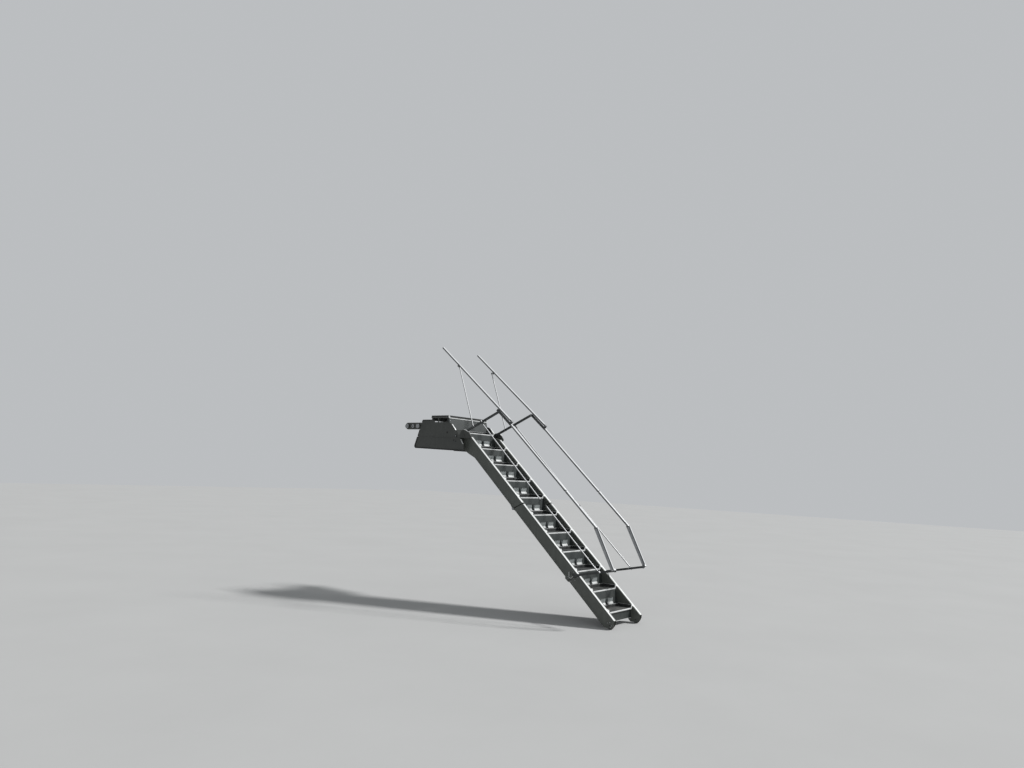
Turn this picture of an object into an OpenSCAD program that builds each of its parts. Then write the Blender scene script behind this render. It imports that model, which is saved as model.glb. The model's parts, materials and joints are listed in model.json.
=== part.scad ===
// Folding airstair let down from a compartment under an airliner's door.
// Millimetres. +X is right as seen from the foot, +Y runs inboard, +Z is up.
// The origin is the centre of the two hanger bores at the carriage's inboard end.

/* [Flight] */
// Rise of one step
rise = 210; // [190:1:225]
// Run of one step
run = 233; // [215:1:260]
// Number of treads below the platform
treads = 11; // [11:1:11]
// Half of the clear width between the side beams
clear_half = 280; // [250:1:300]
// Distance from the hanger bores to the platform nosing
nose_y = -722; // [-760:1:-700]
// Height of the platform nosing above the hanger bores
nose_z = 125; // [110:1:140]

/* [Side beams] */
// Width of one side beam
beam_w = 45; // [36:1:50]
// Height of the beam's top flange above the nosing line
beam_top = 22; // [15:1:28]
// Depth of the beam's lower edge below the nosing line
beam_low = 134; // [130:1:150]
// Sheet thickness of the beam
beam_t = 3; // [2:0.5:5]

/* [Treads] */
// Depth of one tread plate
tread_d = 195; // [180:1:205]
// Thickness of the tread plate
tread_t = 4; // [3:0.5:5]
// Height of the raised rim round the tread's ends and back
lip_h = 36; // [30:1:38]
// Height of the nosing bar's face
nose_h = 12; // [10:1:20]

/* [Handrails] */
// Distance of the rails from the middle of the stair
rail_x = 380; // [375:1:384]
// Radius of the top rail tube
rail_r = 15; // [12:0.5:17]
// Radius of the mid rail tube
mid_r = 7.5; // [6:0.5:11]
// Height of the top rail above the nosing line, square to the slope
rail_n = 630; // [600:1:650]

/* [Carriage] */
// Distance of the carriage's side plates from the middle
side_x = 405; // [405:1:420]
// Half width of the platform
deck_half = 415; // [400:1:420]
// Depth of the platform from its nosing
deck_depth = 340; // [300:1:420]
// Height of the platform above the hanger bores
deck_z = 148; // [140:1:160]

/* [Rollers] */
// Height of the hanger bores above the ground
ground = 2358; // [2340:1:2380]
// Radius of the ground rollers
foot_r = 45; // [40:1:48]
// Radius of the carriage's track rollers
track_r = 32; // [25:1:40]

/* [Hidden] */
$fn = 48;
// Slope of the flight, and the step from one nosing to the next along it
slope = atan2(rise, run);
pitch = norm([rise, run]);
// Running clearance of a pin in its bore
gap = 0.06;
beam_x = clear_half + beam_w;
// Places along the slope (s, downward) and square to it (n, upward) from the platform nosing
swing = [272, -111];
fold = [1630, -143];
seam_1 = [1634, 1696];
seam_2 = [2834, 2905];
foot_n = -62;
sole = 10;
foot_s = (ground + nose_z + foot_n * cos(slope) - foot_r) / sin(slope);
// Lower edge of the platform's nosing bar below the deck, its height, and the deck's thickness
deck_bar = 44;
bar_h = 14;
deck_t = 28;
// Bearers of the platform: [front face, width, half length]
bearers = [[-688, 20, 401], [-505, 15, 405], [-390, 24, 405]];
// Front panel's lower edge, and height of the plates' seam
panel_z = -80;
panel_y = -746;
seam_z = [-146, -164];
// Handrail links: base on the beam, tip at the rail
link_base_u = [290, -36];
link_base_l = [2840, -45];
link_step = [283, 656];
link_tip_u = link_base_u + link_step;
link_tip_l = [3195, 442];
mid_share = 0.5213;
mid_pin_u = link_base_u + mid_share * link_step;
mid_share_l = 0.66;
mid_pin_l = link_base_l + mid_share_l * (link_tip_l - link_base_l);
knee = [2690, rail_n - 2];
// Facing ends of the upper and lower rails
top_joint = [2082, 2094];
mid_joint = [[1905, 282], [1995, 290]];
ext_hinge = [848, 668];
ext_top = [-849, 585];
clamp_s = -421;
clamp_drop = 28;
strut_share = 0.3;
strut_foot = link_base_u + strut_share * link_step;
// Planes of the linkage, from the middle outward
link_x0 = 333;
link_t = 10;
eye_x0 = 349;
eye_t = 8;
strut_x = 354;
strut_r = 7;
// Thickness of the side plates and of the skirts below their seam; width of their edge flanges
side_t = 8;
skirt_t = 4;
lip_w = 12;
// Plane and thickness of the swing lugs, which stand inside the side plates
lug_x = 349;
lug_t = 8;
// Slant of the side plates' front edge
edge_lean = 0.76;
roller_y = [-110, 110];

// Height and depth in the part's frame of a place given as (s, n)
function yz(p) = [nose_y - p[0] * cos(slope) - p[1] * sin(slope),
                  nose_z - p[0] * sin(slope) + p[1] * cos(slope)];
function at(x, p) = [x, yz(p)[0], yz(p)[1]];

// Draws a flat shape given in (y, z) as a plate from x0, t thick
module plate(x0, t) {
  translate([x0, 0, 0]) rotate([90, 0, 90]) linear_extrude(t) children();
}

// Turns a flat shape given in (s, n) into (y, z)
module on_slope() {
  translate([nose_y, nose_z]) rotate(slope) mirror([1, 0]) children();
}

// Round bar between two points
module bar(a, b, r) {
  d = b - a;
  translate(a) rotate([0, acos(d[2] / norm(d)), atan2(d[1], d[0])]) cylinder(h = norm(d), r = r);
}

// Round bar whose ends are capped with a chamfered plug
module capped_bar(a, b, r) {
  d = b - a;
  h = norm(d);
  edge = 0.4 * r;
  translate(a) rotate([0, acos(d[2] / h), atan2(d[1], d[0])]) rotate_extrude()
    polygon([[0, 0], [r - edge, 0], [r, edge], [r, h - edge], [r - edge, h], [0, h]]);
}

// Pin along X at a place given as (s, n)
module pin(x0, t, p, r) {
  translate(at(x0, p)) rotate([0, 90, 0]) cylinder(h = t, r = r);
}

// Both sides: the left one is the mirror image of the right one
module left() { mirror([1, 0, 0]) children(); }

// Carriage: the part that runs in the compartment's tracks

// Upper part of the side plate, with the arm that reaches inboard to the hanger bore
module side_outline() {
  difference() {
    polygon([[150, 34], [120, 50], [-178, 50], [-186, 76], [-198, 85], [-427, 85], [-427, 55],
             [-490, 55], [-490, deck_z - 36], [-505, deck_z - 36], [-505, 55], [-665, 55], [-735, 40],
             [-772, 24], [-856, -68], [-927, seam_z[1] + 1], [-107, seam_z[0]], [-142, -48],
             [110, -48], [146, -30]]);
    circle(r = 10);
    translate(yz(swing)) circle(r = 14 + gap);
    translate([-684, -91]) circle(r = 12);
    for (y = roller_y) translate([y, 0]) circle(r = 12 + gap);
  }
}

// Skirt below the seam
module skirt_outline() {
  polygon([[-108, seam_z[0] + 2], [-926, seam_z[1] + 3], [-946, -186], [-992, -250], [-1005, -325],
           [-988, -338], [-75, -308], [-58, -300], [-53, -288]]);
}

// Lug that carries the ladder's swing pin
module lug_outline() {
  difference() {
    polygon([[-800, -52], [-890, -54], [-960, -50], [-1000, -60], [-1040, -84], [-1078, -132],
             [-1084, -156], [-1060, -166], [-945, -172], [-800, -166]]);
    translate(yz(swing)) circle(r = 16 + gap);
  }
}

// Flange along one straight edge of a plate, standing out from its face
module edge_flange(x0, a, b, w) {
  d = b - a;
  plate(x0, w) translate(a) rotate(atan2(d[1], d[0])) translate([0, -2]) square([norm(d), 4]);
}

// Strip that leads inward from the side plate's front edge to the lug
module joggle() {
  multmatrix([[1, 0, 0, 0], [0, 1, edge_lean, 68 * edge_lean], [0, 0, 1, 0]])
    translate([0, 0, -166]) linear_extrude(112)
      polygon([[side_x, -846], [side_x + side_t, -846], [side_x + side_t, -862],
               [lug_x + lug_t, -915], [lug_x + lug_t, -925], [lug_x, -925], [lug_x, -911],
               [side_x, -858]]);
}

module side_plate() {
  color([0.30, 0.31, 0.31]) {
    plate(side_x, side_t) side_outline();
    plate(side_x, skirt_t) skirt_outline();
    plate(lug_x, lug_t) lug_outline();
    joggle();
    edge_flange(side_x, [-772, 22], [-850, -61], side_t + lip_w);
    edge_flange(side_x, [-948, -188], [-990, -249], side_t + lip_w);
    edge_flange(lug_x, [-962, -51], [-1000, -61], lug_t + lip_w);
    edge_flange(lug_x, [-1000, -61], [-1038, -84], lug_t + lip_w);
    // thickened boss round the hanger bore
    difference() {
      plate(side_x - 6, 20) circle(r = 30);
      plate(side_x - 7, 22) circle(r = 10);
    }
    // stiffening angle along the seam, on the inner face
    plate(side_x - 18, 18.5) translate([-760, seam_z[1] + 12]) square([600, 5]);
  }
}

module platform_deck() {
  color([0.22, 0.23, 0.23])
    translate([-deck_half + 5, -698, deck_z - deck_t]) cube([2 * deck_half - 10, deck_depth - 4, deck_t]);
}

// Bar under the front of the deck, turned up at both ends
module platform_nosing() {
  color([0.80, 0.81, 0.81]) {
    translate([-deck_half, -702, deck_z - deck_bar]) cube([2 * deck_half, 12, bar_h]);
    for (m = [0, 1]) mirror([m, 0, 0])
      translate([deck_half - 5, -702, deck_z - deck_bar]) cube([5, 22, deck_bar + 2]);
  }
}

// Strips along the platform's sides
module platform_channels() {
  color([0.30, 0.31, 0.31]) for (m = [0, 1]) mirror([m, 0, 0])
    translate([deck_half - 5, -680, deck_z - 36]) cube([5, deck_depth - 22, 22]);
}

module deck_bearers() {
  color([0.30, 0.31, 0.31])
    for (b = bearers) translate([0, b[0], 0]) {
      translate([-b[2], 0, deck_z - 72]) cube([2 * b[2], b[1], 38]);
      translate([-deck_half + 25, 0, deck_z - 34.01]) cube([2 * deck_half - 50, b[1], 34.01 - deck_t]);
    }
}

// Panel that closes the step between the platform and the uppermost tread, with returns at its ends
module front_panel() {
  color([0.36, 0.38, 0.39]) {
    translate([-side_x, 0, 0]) rotate([90, 0, 90]) linear_extrude(2 * side_x) {
      polygon([[-698, deck_z - deck_bar], [panel_y, panel_z], [panel_y + 3, panel_z],
               [-695, deck_z - deck_bar]]);
      translate([panel_y + 3, panel_z]) square([14, 3]);
    }
    for (m = [0, 1]) mirror([m, 0, 0]) plate(side_x - 3, 3)
      polygon([[-696, deck_z - deck_bar], [-689, deck_z - deck_bar], [-689, deck_z - 36],
               [-668, deck_z - 36], [-668, 42], [-712, 42]]);
  }
}

module cross_tubes() {
  color([0.36, 0.37, 0.37])
    for (p = [[-220, 30], [-640, 30]])
      translate([-side_x, p[0], p[1]]) rotate([0, 90, 0]) cylinder(h = 2 * side_x, r = 16);
}

module roller_axle(y) {
  color([0.55, 0.56, 0.57]) translate([0, y, 0]) rotate([0, 90, 0]) {
    cylinder(h = 2 * (side_x + 34), r = 12, center = true);
    for (k = [-1, 1]) translate([0, 0, k * (side_x + 26)]) {
      cylinder(h = 16, r = track_r, center = true);
    }
  }
}

// Upper ladder

// The head is deepened under the swing pin and cut back above it
module beam_outline_upper() {
  on_slope() union() {
    translate(swing) circle(r = 46);
    polygon([[swing[0], swing[1] - 46], [350, -178], [470, -190], [570, -168], [680, -beam_low],
             [seam_1[0] - 6, -beam_low], [seam_1[1] - 6, beam_top], [430, beam_top], [400, 8],
             [250, -70]]);
  }
}

module beam_core(s0, s1) {
  plate(clear_half + beam_t, beam_w - 2 * beam_t)
    on_slope() translate([s0, -beam_low + beam_t])
      square([s1 - s0, beam_top + beam_low - 2 * beam_t]);
}

module beam_upper() {
  color([0.28, 0.29, 0.29]) {
    difference() {
      plate(clear_half, beam_w) beam_outline_upper();
      beam_core(420, 1800);
      pin(clear_half + 10, 25, fold, 23);
      pin(clear_half - 1, beam_w + 2, fold, 8 + gap);
      pin(clear_half - 1, beam_w + 2, swing, 16);
    }
    for (x = [clear_half, beam_x - 9]) difference() {
      plate(x, 9) on_slope() {
        translate(fold) circle(r = 17);
        polygon([[1560, -132], [1614, -146], [fold[0], -126], [1626, -128]]);
      }
      pin(x - 1, 11, fold, 8 + gap);
    }
    // link pin
    pin(beam_x - 1, 20, link_base_u, 8);
  }
}

// Stub pins on which the ladder swings in the carriage's side plates
module swing_pins() {
  color([0.55, 0.56, 0.57]) for (m = [0, 1]) mirror([m, 0, 0]) {
    pin(clear_half + 1, side_x - clear_half - 2, swing, 16);
    pin(side_x - 2, side_t + 4, swing, 14);
    pin(side_x + side_t + 1, 5, swing, 18);
  }
}

// One tread plate with the raised rim round its ends and back, its nosing at the place of step k
module tread(k) {
  translate([0, nose_y - k * run, nose_z - k * rise]) {
    translate([-clear_half, 4, -tread_t]) cube([2 * clear_half, tread_d - 4, tread_t]);
    for (m = [-1, 1])
      translate([m * (clear_half - 3) - 1.5, 14.5, -1]) cube([3, tread_d - 18.5, lip_h + 1]);
    translate([-clear_half + 2, tread_d - 7, -1]) cube([2 * clear_half - 4, 3, lip_h + 1]);
  }
}

// Nosing bar, turned up at both ends
module nosing(k) {
  translate([0, nose_y - k * run, nose_z - k * rise]) {
    translate([-clear_half, 0, -nose_h]) cube([2 * clear_half, 4, nose_h + 1.5]);
    translate([-clear_half, 0, 0]) cube([2 * clear_half, 14, 1.5]);
    for (m = [-1, 1]) translate([m * (clear_half - 3) - 3, 0, 0]) cube([6, 14, lip_h + 4]);
  }
}

// Windows of a riser: [x of the left edge, width]
lights = [[-150, 124], [26, 124]];
light_z = [45, 118];
light_out = 28;

// The riser stands at the back of tread k and leans in under the nosing above
module riser_sheet(k, x0, w, z0, z1, t, push) {
  lean = (run - tread_d) / (rise - nose_h);
  y0 = lean * (z0 + tread_t);
  y1 = lean * (z1 + tread_t);
  translate([x0, nose_y - k * run + tread_d + push, nose_z - k * rise]) rotate([90, 0, 90])
    linear_extrude(w) polygon([[y0, z0], [y1, z1], [y1 + t, z1], [y0 + t, z0]]);
}

module riser(k) {
  difference() {
    riser_sheet(k, -clear_half, 2 * clear_half, -tread_t, rise - nose_h, 3, 0);
    for (w = lights) riser_sheet(k, w[0], w[1], light_z[0], light_z[1], 5, -1);
  }
}

// Light of a window: a wedge whose front leans out over the tread below
module light_wedge(k, x0, w) {
  lean = (run - tread_d) / (rise - nose_h);
  y0 = lean * (light_z[0] + tread_t);
  y1 = lean * (light_z[1] + tread_t);
  translate([x0, nose_y - k * run + tread_d, nose_z - k * rise]) rotate([90, 0, 90]) linear_extrude(w)
    polygon([[y0, light_z[0]], [y1 - light_out, light_z[1]], [y1 + 4, light_z[1]], [y0 + 4, light_z[0]]]);
}

module step_light(k) {
  for (w = lights) {
    light_wedge(k, w[0], w[1]);
    translate([w[0] - 4, nose_y - k * run + tread_d + 2, nose_z - k * rise + light_z[0] - 6])
      cube([w[1] + 8, 4, 6]);
  }
}

// Lower ladder

module beam_lower() {
  color([0.28, 0.29, 0.29]) {
    difference() {
      plate(clear_half, beam_w) on_slope()
        polygon([[seam_1[0] + 6, -134], [seam_2[0] - 3, -134], [seam_2[1] - 3, beam_top],
                 [seam_1[1] + 6, beam_top]]);
      beam_core(1500, 3100);
      for (x = [clear_half - 1, beam_x - 10]) pin(x, 11, fold, 23);
    }
    plate(clear_half + 11, 23) on_slope() {
      translate(fold) circle(r = 17);
      polygon([[fold[0], -126], [1650, -146], [1700, -132], [1640, -128]]);
    }
    pin(clear_half, beam_w, fold, 8);
    pin(beam_x - 1, 20, link_base_l, 8);
    // clevis whose outer cheek holds the lower link's pin from outside
    plate(link_x0 + link_t + 1, 4) on_slope() {
      translate(link_base_l) circle(r = 13);
      translate(link_base_l + [-13, -24]) square([26, 24]);
    }
    plate(beam_x - 1, link_x0 + link_t + 6 - beam_x) on_slope()
      translate(link_base_l + [-13, -28]) square([26, 6]);
  }
}

// The foot ends level, just above the ground, and is open below round its roller
module beam_foot() {
  color([0.28, 0.29, 0.29]) difference() {
    plate(clear_half, beam_w) intersection() {
      on_slope() polygon([[seam_2[0] + 3, -beam_low], [3580, -beam_low], [3611, -90], [3611, -40],
                          [3600, -4], [3578, beam_top], [seam_2[1] + 3, beam_top]]);
      translate([-4000, sole - ground]) square([4000, 4000]);
    }
    beam_core(2700, 3700);
    plate(clear_half + beam_t, beam_w - 2 * beam_t) on_slope()
      translate([3510, -160]) square([200, 164]);
    pin(clear_half - 1, beam_w + 2, [foot_s, foot_n], 8 + gap);
  }
}

module foot_roller() {
  color([0.16, 0.16, 0.16]) {
    pin(clear_half + 8, beam_w - 16, [foot_s, foot_n], foot_r);
    pin(clear_half - 6, beam_w + 12, [foot_s, foot_n], 8);
  }
}

module splice_plates() {
  color([0.33, 0.34, 0.34]) for (m = [0, 1]) mirror([m, 0, 0]) {
    plate(clear_half + beam_t, 5) on_slope() translate([2760, -130]) square([240, 148]);
    plate(clear_half, beam_w) on_slope() polygon([[2775, -134], [2850, -134], [2850, -146], [2790, -152]]);
  }
}

// Handrails

module link(a, b, w, extra) {
  d = b - a;
  turn = atan2(d[1], d[0]);
  difference() {
    union() {
      plate(link_x0, link_t) on_slope() {
        translate(a) circle(r = 18);
        translate(b) circle(r = 18);
        translate(a) rotate(turn) translate([0, -w / 2]) square([norm(d), w]);
      }
      for (p = concat([b], extra)) pin(link_x0 + link_t - 1, eye_x0 + eye_t - link_x0 - link_t + 0.9, p, 6);
    }
    pin(link_x0 - 1, link_t + 2, a, 8 + gap);
  }
}

module eye(p, up) {
  difference() {
    plate(eye_x0, eye_t) on_slope() {
      translate(p) circle(r = 13);
      translate([p[0] - 11, p[1]]) square([22, up]);
    }
    pin(eye_x0 - 1, eye_t + 2, p, 6 + gap);
  }
}

module arm_from(p, up) {
  // block that joins an eye to its tube
  plate(eye_x0 + eye_t - 0.01, rail_x - eye_x0 - eye_t) on_slope()
    translate([p[0] - 11, p[1] + up - 12]) square([22, 12]);
}

steel = [0.74, 0.75, 0.76];
dark = [0.24, 0.25, 0.26];

module link_upper() { color(dark) link(link_base_u, link_tip_u, 33, [mid_pin_u, strut_foot]); }
module link_lower() { color(dark) link(link_base_l, link_tip_l, 26, [mid_pin_l]); }

module top_rail_upper() {
  color(steel) bar(at(rail_x, [872, rail_n]), at(rail_x, [top_joint[0], rail_n]), rail_r);
}

// Bracket at the head of the upper rail, with the link's eye and the extension's hinge
module rail_bracket() {
  color(dark) {
    eye(link_tip_u, 20);
    arm_from(link_tip_u, rail_n - link_tip_u[1] + 6);
    plate(rail_x - 12, 24) on_slope() polygon([[552, 604], [552, 632], [836, 642], [871, 642], [871, 616]]);
    difference() {
      plate(rail_x - 12, 24) on_slope() {
        translate(ext_hinge) circle(r = 14);
        translate([ext_hinge[0] - 14, 630]) square([28, 38]);
      }
      pin(rail_x - 13, 26, ext_hinge, 6 + gap);
      plate(rail_x - 5, 10) on_slope() translate(ext_hinge) circle(r = 22);
    }
  }
}

module mid_rail(a, b) {
  color(steel) capped_bar(at(rail_x, a), at(rail_x, b), mid_r);
}

module mid_rail_upper() {
  mid_rail(mid_pin_u + [-20, 8], mid_joint[0]);
  color(steel) { eye(mid_pin_u, 14); arm_from(mid_pin_u, 14); }
}

module mid_rail_lower() {
  mid_rail(mid_joint[1], mid_pin_l + [20, 8]);
  color(steel) { eye(mid_pin_l, 14); arm_from(mid_pin_l, 14); }
}

module top_rail_lower() {
  bead = 1.5;
  color(steel) {
    bar(at(rail_x, [top_joint[1], rail_n]), at(rail_x, knee), rail_r);
    translate(at(rail_x, knee)) sphere(r = rail_r + bead);
    for (w = [-12, 12]) bar(at(rail_x, knee + [w, w * 1.2]), at(rail_x, link_tip_l + [w * 0.6, w]), 9);
    eye(link_tip_l, 26);
    arm_from(link_tip_l, 26);
  }
}

module rail_extension() {
  tip = ext_top - ext_hinge;
  clamp = ext_hinge + tip * (ext_hinge[0] - clamp_s) / (ext_hinge[0] - ext_top[0]);
  color(steel) {
    capped_bar(at(rail_x, ext_hinge + tip * 0.02), at(rail_x, ext_top), rail_r);
    plate(rail_x - 4, 8) on_slope() {
      translate(ext_hinge) circle(r = 13);
      translate(ext_hinge) rotate(atan2(tip[1], tip[0])) translate([0, -11]) square([60, 22]);
    }
    pin(rail_x - 14, 28, ext_hinge, 6);
  }
  color(dark) {
    plate(rail_x - 10, 20) on_slope() translate(clamp + [-16, -clamp_drop]) square([32, clamp_drop]);
    pin(eye_x0 - 2, rail_x - eye_x0, clamp + [0, -clamp_drop], 5);
  }
}

// The strut hangs on the clamp and hooks over a pin of the upper link with an open jaw
module extension_strut() {
  tip = ext_top - ext_hinge;
  clamp = ext_hinge + tip * (ext_hinge[0] - clamp_s) / (ext_hinge[0] - ext_top[0])
    + [0, -clamp_drop];
  along = (strut_foot - clamp) / norm(strut_foot - clamp);
  color(steel) {
    bar(at(strut_x, clamp + 16 * along), at(strut_x, strut_foot - 14 * along), strut_r);
    difference() {
      plate(strut_x - 5, 10) on_slope() {
        translate(clamp) circle(r = 12);
        translate(clamp) rotate(atan2(along[1], along[0])) translate([6, -6]) square([22, 12]);
      }
      pin(strut_x - 6, 12, clamp, 5 + gap);
    }
    plate(strut_x - 5, 10) on_slope() difference() {
      union() {
        translate(strut_foot) circle(r = 15);
        translate(strut_foot) rotate(atan2(along[1], along[0])) translate([-28, -6]) square([22, 12]);
      }
      translate(strut_foot) circle(r = 7);
      translate(strut_foot) rotate(atan2(along[1], along[0]) - 12)
        polygon([[0, -6.5], [0, 6.5], [30, 22], [30, -22]]);
    }
  }
}

module treads_upper() { color([0.30, 0.31, 0.31]) for (k = [1:5]) tread(k); }
module treads_lower() { color([0.30, 0.31, 0.31]) for (k = [6:treads]) tread(k); }
module nosings_upper() { color([0.80, 0.81, 0.81]) for (k = [1:5]) nosing(k); }
module nosings_lower() { color([0.80, 0.81, 0.81]) for (k = [6:treads]) nosing(k); }
// The riser that hangs from tread 5 leaves room for tread 6, which folds away with the lower ladder
module risers_upper() {
  color([0.40, 0.41, 0.42]) {
    for (k = [2:5]) riser(k);
    difference() {
      riser(6);
      translate([-clear_half - 1, nose_y - 6 * run + tread_d - 8, nose_z - 6 * rise - 20])
        cube([2 * clear_half + 2, 24, 26 + lip_h]);
    }
  }
}
module risers_lower() {
  color([0.40, 0.41, 0.42]) {
    for (k = [7:treads]) riser(k);
    // kick plate under the lowest tread
    translate([-clear_half, nose_y - treads * run + 16, nose_z - treads * rise - 96])
      cube([2 * clear_half, 3, 92]);
    translate([-clear_half, nose_y - treads * run + 16, nose_z - treads * rise - 96])
      cube([2 * clear_half, 18, 3]);
  }
}
module step_lights_upper() { color([0.75, 0.78, 0.78]) for (k = [2:6]) step_light(k); }
module step_lights_lower() { color([0.75, 0.78, 0.78]) for (k = [7:treads]) step_light(k); }

left() side_plate();  // side_plate_left
side_plate();  // side_plate_right
platform_deck();
platform_nosing();
platform_channels();
deck_bearers();
front_panel();
cross_tubes();
roller_axle(roller_y[0]);  // front_roller_axle
roller_axle(roller_y[1]);  // rear_roller_axle
left() beam_upper();  // beam_upper_left
beam_upper();  // beam_upper_right
treads_upper();
nosings_upper();
risers_upper();
step_lights_upper();
swing_pins();
left() beam_lower();  // beam_lower_left
beam_lower();  // beam_lower_right
left() beam_foot();  // beam_foot_left
beam_foot();  // beam_foot_right
splice_plates();
treads_lower();
nosings_lower();
risers_lower();
step_lights_lower();
left() foot_roller();  // foot_roller_left
foot_roller();  // foot_roller_right
left() link_upper();  // link_upper_left
link_upper();  // link_upper_right
left() rail_bracket();  // rail_bracket_left
rail_bracket();  // rail_bracket_right
left() top_rail_upper();  // top_rail_upper_left
top_rail_upper();  // top_rail_upper_right
left() mid_rail_upper();  // mid_rail_upper_left
mid_rail_upper();  // mid_rail_upper_right
left() link_lower();  // link_lower_left
link_lower();  // link_lower_right
left() top_rail_lower();  // top_rail_lower_left
top_rail_lower();  // top_rail_lower_right
left() mid_rail_lower();  // mid_rail_lower_left
mid_rail_lower();  // mid_rail_lower_right
left() rail_extension();  // rail_extension_left
rail_extension();  // rail_extension_right
left() extension_strut();  // extension_strut_left
extension_strut();  // extension_strut_right
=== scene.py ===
"""Folding aircraft airstair: finishes, small fittings, camera and light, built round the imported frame.

All shapes below are worked out in millimetres in the part's frame and put into meshes in metres.
Places on the flight are (s, n): s runs down the slope from the platform nosing, n stands square to it.
"""
import json
import math

import bmesh
import bpy
import numpy as np
from mathutils import Matrix, Vector


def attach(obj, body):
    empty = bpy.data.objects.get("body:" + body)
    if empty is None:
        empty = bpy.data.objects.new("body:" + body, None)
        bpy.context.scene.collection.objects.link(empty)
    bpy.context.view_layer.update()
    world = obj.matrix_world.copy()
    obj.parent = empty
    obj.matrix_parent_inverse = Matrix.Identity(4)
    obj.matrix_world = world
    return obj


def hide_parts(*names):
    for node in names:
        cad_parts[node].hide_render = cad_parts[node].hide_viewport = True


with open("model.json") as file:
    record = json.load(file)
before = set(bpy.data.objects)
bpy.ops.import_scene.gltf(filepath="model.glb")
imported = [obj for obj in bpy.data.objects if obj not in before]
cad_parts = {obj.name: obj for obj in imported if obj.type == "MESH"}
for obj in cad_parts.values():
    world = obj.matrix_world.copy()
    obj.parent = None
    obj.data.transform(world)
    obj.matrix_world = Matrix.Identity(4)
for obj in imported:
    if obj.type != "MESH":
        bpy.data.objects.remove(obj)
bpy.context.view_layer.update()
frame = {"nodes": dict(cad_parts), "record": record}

MM = 0.001
SIDES = (("left", -1), ("right", 1))

# Driving sizes of the flight, as in the part
RISE, RUN, TREADS = 210.0, 233.0, 11
NOSE = np.array([-722.0, 125.0])
HALF_CLEAR, BEAM_W = 280.0, 45.0
BEAM_X = HALF_CLEAR + BEAM_W
BEAM_TOP, BEAM_LOW = 22.0, 134.0
TREAD_D = 195.0
RAIL_X, RAIL_R, RAIL_N = 380.0, 15.0, 630.0
SIDE_X, SIDE_T = 405.0, 8.0
DECK_HALF, DECK_Z, DECK_BACK, DECK_FRONT = 415.0, 148.0, -362.0, -702.0
GROUND = -2358.0
FOOT_R, FOOT_N = 45.0, -62.0
SLOPE = math.atan2(RISE, RUN)
COS, SIN = math.cos(SLOPE), math.sin(SLOPE)
FOOT_S = (-GROUND + NOSE[1] + FOOT_N * COS - FOOT_R) / SIN
# Treads of each ladder, and the treads whose risers hold lights
LADDERS = (("upper", "upper_ladder", range(1, 6)), ("lower", "lower_ladder", range(6, TREADS + 1)))
LIT_RISERS = (("upper", "upper_ladder", range(2, 7)), ("lower", "lower_ladder", range(7, TREADS + 1)))
# Pivots, link ends and rail ends in (s, n)
SWING, FOLD = (272.0, -111.0), (1630.0, -143.0)
LINK_X0, LINK_X1 = 333.0, 343.0
LINK_STEP = np.array([283.0, 656.0])
BASE_U, BASE_L = np.array([290.0, -36.0]), np.array([2840.0, -45.0])
TIP_U, TIP_L = BASE_U + LINK_STEP, np.array([3195.0, 442.0])
MID_U = BASE_U + 0.5213 * LINK_STEP
MID_L = BASE_L + 0.66 * (TIP_L - BASE_L)
MID_JOINT, MID_R = np.array([[1905.0, 282.0], [1995.0, 290.0]]), 7.5
KNEE = np.array([2690.0, RAIL_N - 2])
EXT_HINGE, EXT_TOP, CLAMP_S = np.array([848.0, 668.0]), np.array([-849.0, 585.0]), -421.0
BRACKET_HALF, STRAP_X = 12.0, 341.0
PIVOT_BOLT, HUB_BOLT, TREAD_BOLT, SPLICE_BOLT = 7.0, 5.5, 5.0, 4.5

# Camera of the photograph: place in metres, angles in radians and focal length in pixels
CAMERA_AT = Vector((-8.147, -7.978, -0.636))
YAW, PITCH, ROLL = 0.674, 0.119, 0.046
FOCAL_PX, PHOTO_W, SENSOR_MM = 757.66, 1024, 36.0

# Light and ground
SUN_POWER, SUN_WIDTH, TO_SUN = 3.6, 0.12, Vector((0.52, -0.44, 0.73))
SKY, SKY_POWER, WALL = (0.93, 0.97, 1.0, 1), 0.42, (0.50, 0.515, 0.53, 1)
FLOOR_SIZE, FLOOR_DARK, FLOOR_LIGHT = 80, (0.40, 0.40, 0.395), (0.43, 0.43, 0.425)


# Camera, light and floor

def make_camera():
    """Camera at the photograph's place; the frame's long side is the sensor's width."""
    forward = Vector((math.cos(YAW) * math.cos(PITCH), math.sin(YAW) * math.cos(PITCH), math.sin(PITCH)))
    right = forward.cross(Vector((0, 0, 1))).normalized()
    up = right.cross(forward)
    right, up = (math.cos(ROLL) * right + math.sin(ROLL) * up,
                 math.cos(ROLL) * up - math.sin(ROLL) * right)
    data = bpy.data.cameras.new("camera")
    data.sensor_width = SENSOR_MM
    data.lens = FOCAL_PX * SENSOR_MM / PHOTO_W
    cam = bpy.data.objects.new("camera", data)
    bpy.context.scene.collection.objects.link(cam)
    cam.matrix_world = Matrix.Translation(CAMERA_AT) @ Matrix((right, up, -forward)).transposed().to_4x4()
    bpy.context.scene.camera = cam


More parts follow.
